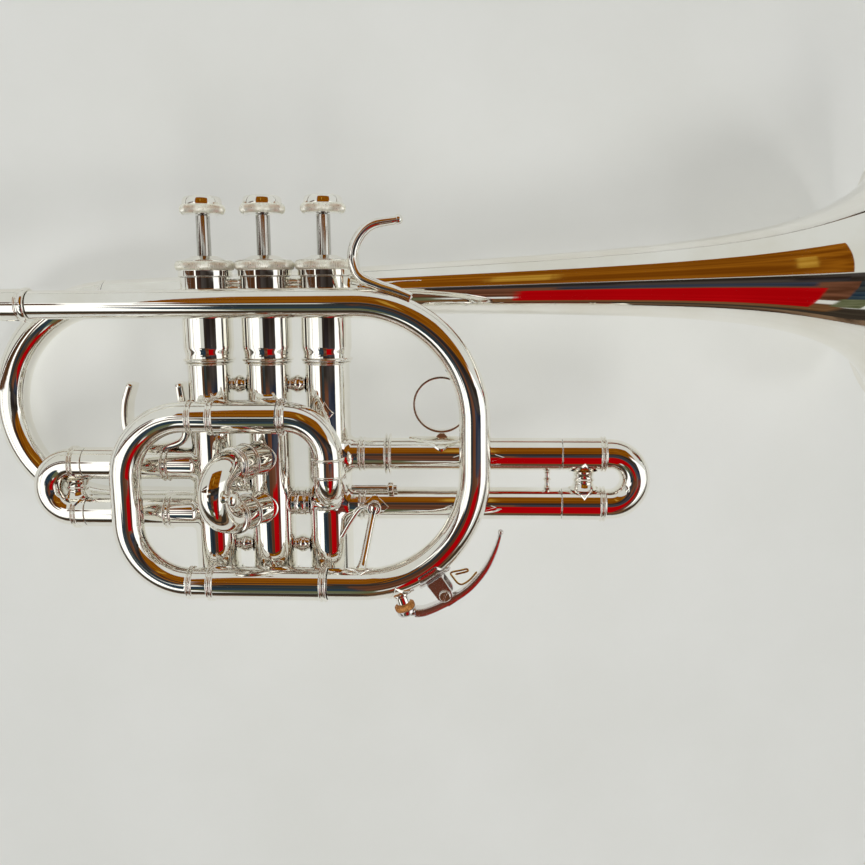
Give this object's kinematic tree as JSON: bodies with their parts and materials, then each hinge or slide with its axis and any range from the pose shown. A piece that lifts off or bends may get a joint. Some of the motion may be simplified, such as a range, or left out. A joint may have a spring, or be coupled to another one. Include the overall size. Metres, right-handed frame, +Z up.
{
  "type": "cornet",
  "caption": "Long-model silver-plated cornet with piston valves, bell crook, pull slides, finger hook, finger ring, thumb saddle and water key.",
  "frame": {"origin": "middle of the bounding box on the table plane, with the cornet lying on its left side", "axes": "+X towards the bell, +Y towards the finger buttons, +Z up from the table; the instrument itself is rolled 9.6 degrees and pitched 6.75 degrees, as it rests on bell rim and crook"},
  "size_m": [0.421, 0.2088, 0.1196],
  "materials": {
    "silver_plate": "mirror-polished silver plate over brass; the knurled rims are satin",
    "monel": "lapped nickel alloy",
    "spring_steel": "drawn wire",
    "brass_wire": "drawn brass wire",
    "nylon": "moulded",
    "felt": "pressed felt",
    "cork": "natural cork"
  },
  "bodies": {
    "instrument": {"casing_1": "silver_plate", "top_cap_1": "silver_plate", "bottom_cap_1": "silver_plate", "valve_guide_1": "nylon", "valve_spring_1": "spring_steel", "casing_2": "silver_plate", "top_cap_2": "silver_plate", "bottom_cap_2": "silver_plate", "valve_guide_2": "nylon", "valve_spring_2": "spring_steel", "casing_3": "silver_plate", "top_cap_3": "silver_plate", "bottom_cap_3": "silver_plate", "valve_guide_3": "nylon", "valve_spring_3": "spring_steel", "knuckle_1_2": "silver_plate", "knuckle_2_3": "silver_plate", "first_slide_sleeve_upper": "silver_plate", "first_slide_sleeve_lower": "silver_plate", "second_slide_sleeve_upper": "silver_plate", "second_slide_sleeve_lower": "silver_plate", "third_slide_sleeves": "silver_plate", "mouthpiece_receiver": "silver_plate", "leadpipe_loop": "silver_plate", "tuning_sleeve_upper": "silver_plate", "tuning_sleeve_lower": "silver_plate", "inlet_elbow": "silver_plate", "bell": "silver_plate", "bell_crook": "silver_plate", "finger_hook": "silver_plate", "finger_ring": "silver_plate", "thumb_saddle": "silver_plate", "loop_brace": "silver_plate", "stop_rod": "silver_plate", "water_key_nipple": "silver_plate", "water_key_saddle": "silver_plate", "water_key_screw": "silver_plate", "water_key_spring": "brass_wire"},
    "valve_1": {"piston_1": "monel", "stem_1": "silver_plate", "stem_felt_1": "felt", "finger_button_1": "silver_plate"},
    "valve_2": {"piston_2": "monel", "stem_2": "silver_plate", "stem_felt_2": "felt", "finger_button_2": "silver_plate"},
    "valve_3": {"piston_3": "monel", "stem_3": "silver_plate", "stem_felt_3": "felt", "finger_button_3": "silver_plate"},
    "first_slide": {"first_slide": "silver_plate"},
    "second_slide": {"second_slide": "silver_plate"},
    "third_slide": {"third_slide": "silver_plate"},
    "tuning_slide": {"tuning_slide": "silver_plate"},
    "water_key": {"water_key_lever": "silver_plate", "water_key_cork": "cork"}
  },
  "joints": [
    {"name": "valve_1_press", "type": "slide", "parent": "instrument", "child": "valve_1", "axis": [0.0196, -0.986, -0.1656], "range_m": [0, 0.0165], "stiffness_N_per_m": 150, "springref_m": -0.016, "deforming": ["valve_spring_1"]},
    {"name": "valve_2_press", "type": "slide", "parent": "instrument", "child": "valve_2", "axis": [0.0196, -0.986, -0.1656], "range_m": [0, 0.0165], "stiffness_N_per_m": 150, "springref_m": -0.016, "deforming": ["valve_spring_2"]},
    {"name": "valve_3_press", "type": "slide", "parent": "instrument", "child": "valve_3", "axis": [0.0196, -0.986, -0.1656], "range_m": [0, 0.0165], "stiffness_N_per_m": 150, "springref_m": -0.016, "deforming": ["valve_spring_3"]},
    {"name": "first_slide_pull", "type": "slide", "parent": "instrument", "child": "first_slide", "axis": [-0.9931, 0, -0.1175], "range_m": [0, 0.02]},
    {"name": "second_slide_pull", "type": "slide", "parent": "instrument", "child": "second_slide", "axis": [-0.5247, -0.1511, 0.8377], "range_m": [0, 0.005]},
    {"name": "third_slide_pull", "type": "slide", "parent": "instrument", "child": "third_slide", "axis": [0.9931, 0, 0.1175], "range_m": [0, 0.032]},
    {"name": "tuning_slide_pull", "type": "slide", "parent": "instrument", "child": "tuning_slide", "axis": [-0.9931, 0, -0.1175], "range_m": [-0.006, 0.017]},
    {"name": "water_key_open", "type": "hinge", "parent": "instrument", "child": "water_key", "pos_m": [0.0073, -0.09137, 0.05673], "axis": [-0.1159, -0.1668, 0.9792], "range_deg": [0, 10], "stiffness_Nm_per_rad": 0.1, "springref_deg": -34.38, "deforming": ["water_key_spring"]}
  ]
}
